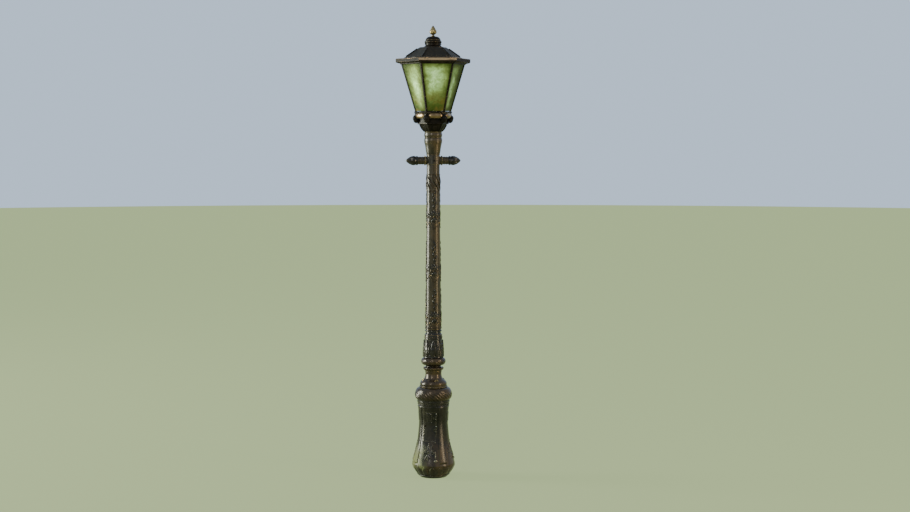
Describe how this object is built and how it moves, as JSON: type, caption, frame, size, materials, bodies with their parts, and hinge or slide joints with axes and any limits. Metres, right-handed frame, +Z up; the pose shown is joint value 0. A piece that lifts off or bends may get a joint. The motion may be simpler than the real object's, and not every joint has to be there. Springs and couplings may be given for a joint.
{
  "type": "street lamp post",
  "caption": "Victorian-style street lamp post: bulbous hollow pedestal with access door, slender tapering column, ladder bar, and a six-sided green glass lantern under a hipped roof.",
  "frame": {"origin": "on the ground under the middle of the column, at the bottom centre of the bounding box", "axes": "+Z up along the column; -Y out of the lantern's front pane; +Y out of the glazed door; +X along the ladder bar"},
  "size_m": [0.664, 0.575, 4],
  "materials": {
    "dark_iron": "aged dark brown-black paint over cast iron, worn to metal on the edges",
    "bronzed_iron": "dark bronze paint rubbed through to copper and gold on the raised edges",
    "patinated_sheet": "dark brown-green weathered sheet metal",
    "gilt_brass": "dulled brass",
    "green_glass": "mottled, streaked cathedral glass",
    "white_enamel": "white vitreous enamel",
    "steel": "zinc plated",
    "porcelain": "glazed",
    "lamp_brass": "plain",
    "lamp_glass": "opal",
    "cable_sheath": "matt",
    "board_wood": "varnished plywood",
    "grey_moulding": "moulded",
    "red_moulding": "moulded"
  },
  "bodies": {
    "post": {"pedestal": "dark_iron", "pedestal_torus": "dark_iron", "bell": "dark_iron", "neck_ring": "bronzed_iron", "shaft_sleeve": "dark_iron", "shaft": "dark_iron", "capital": "bronzed_iron", "ladder_bar": "dark_iron", "ladder_bar_knob_left": "dark_iron", "ladder_bar_knob_right": "dark_iron", "ladder_bar_screws": "steel", "lantern_cradle": "dark_iron", "gallery_ring": "bronzed_iron", "gallery_bosses": "bronzed_iron", "lantern_tray": "steel", "sill_ring": "dark_iron", "rib_set": "dark_iron", "head_ring": "dark_iron", "door_rest_strips": "dark_iron", "glass_front": "green_glass", "glass_front_left": "green_glass", "glass_front_right": "green_glass", "glass_rear_left": "green_glass", "glass_rear_right": "green_glass", "cornice": "bronzed_iron", "roof": "patinated_sheet", "roof_hips": "bronzed_iron", "vent_neck": "bronzed_iron", "vent_collar": "bronzed_iron", "collar_knobs": "gilt_brass", "vent_dome": "bronzed_iron", "finial": "gilt_brass", "roof_rod": "steel", "roof_crossbar": "steel", "reflector": "white_enamel", "lamp_stem": "steel", "lamp_holder": "porcelain", "lamp_cap": "lamp_brass", "lamp_glass": "lamp_glass", "terminal_block": "porcelain", "supply_cable": "cable_sheath", "cable_gland": "cable_sheath", "backboard_rails": "steel", "backboard": "board_wood", "cutout_box": "grey_moulding", "ballast": "steel", "earth_stud": "lamp_brass", "base_door_pin": "steel", "lantern_hinge_feet": "dark_iron", "lantern_hinge_pins": "steel", "turn_button_pillar": "steel"},
    "base_door": {"base_door": "dark_iron"},
    "base_lock": {"lock_barrel": "lamp_brass", "lock_cam": "steel"},
    "fuse_carrier": {"fuse_carrier": "red_moulding"},
    "lantern_door": {"lantern_door_frame": "dark_iron", "lantern_door_glass": "green_glass"},
    "turn_button": {"turn_button": "gilt_brass"}
  },
  "joints": [
    {"name": "base_door_hinge", "type": "hinge", "parent": "post", "child": "base_door", "pos_m": [0.00458, -0.14215, 0.49], "axis": [0, 0, 1], "range_deg": [0, 110]},
    {"name": "base_lock_turn", "type": "hinge", "parent": "base_door", "child": "base_lock", "pos_m": [-0.08352, -0.09417, 0.47], "axis": [-0.4067, -0.9135, 0], "range_deg": [0, 90]},
    {"name": "fuse_carrier_pull", "type": "slide", "parent": "post", "child": "fuse_carrier", "axis": [-0.4067, -0.9135, 0], "range_m": [0, 0.03]},
    {"name": "lantern_door_hinge", "type": "hinge", "parent": "post", "child": "lantern_door", "pos_m": [-0.08, 0.14804, 3.248], "axis": [-0.1426, 0.247, 0.9585], "range_deg": [0, 100]},
    {"name": "turn_button_turn", "type": "hinge", "parent": "post", "child": "turn_button", "pos_m": [0.10698, 0.19995, 3.45665], "axis": [0, 0.9684, -0.2495], "range_deg": [0, 90]}
  ]
}
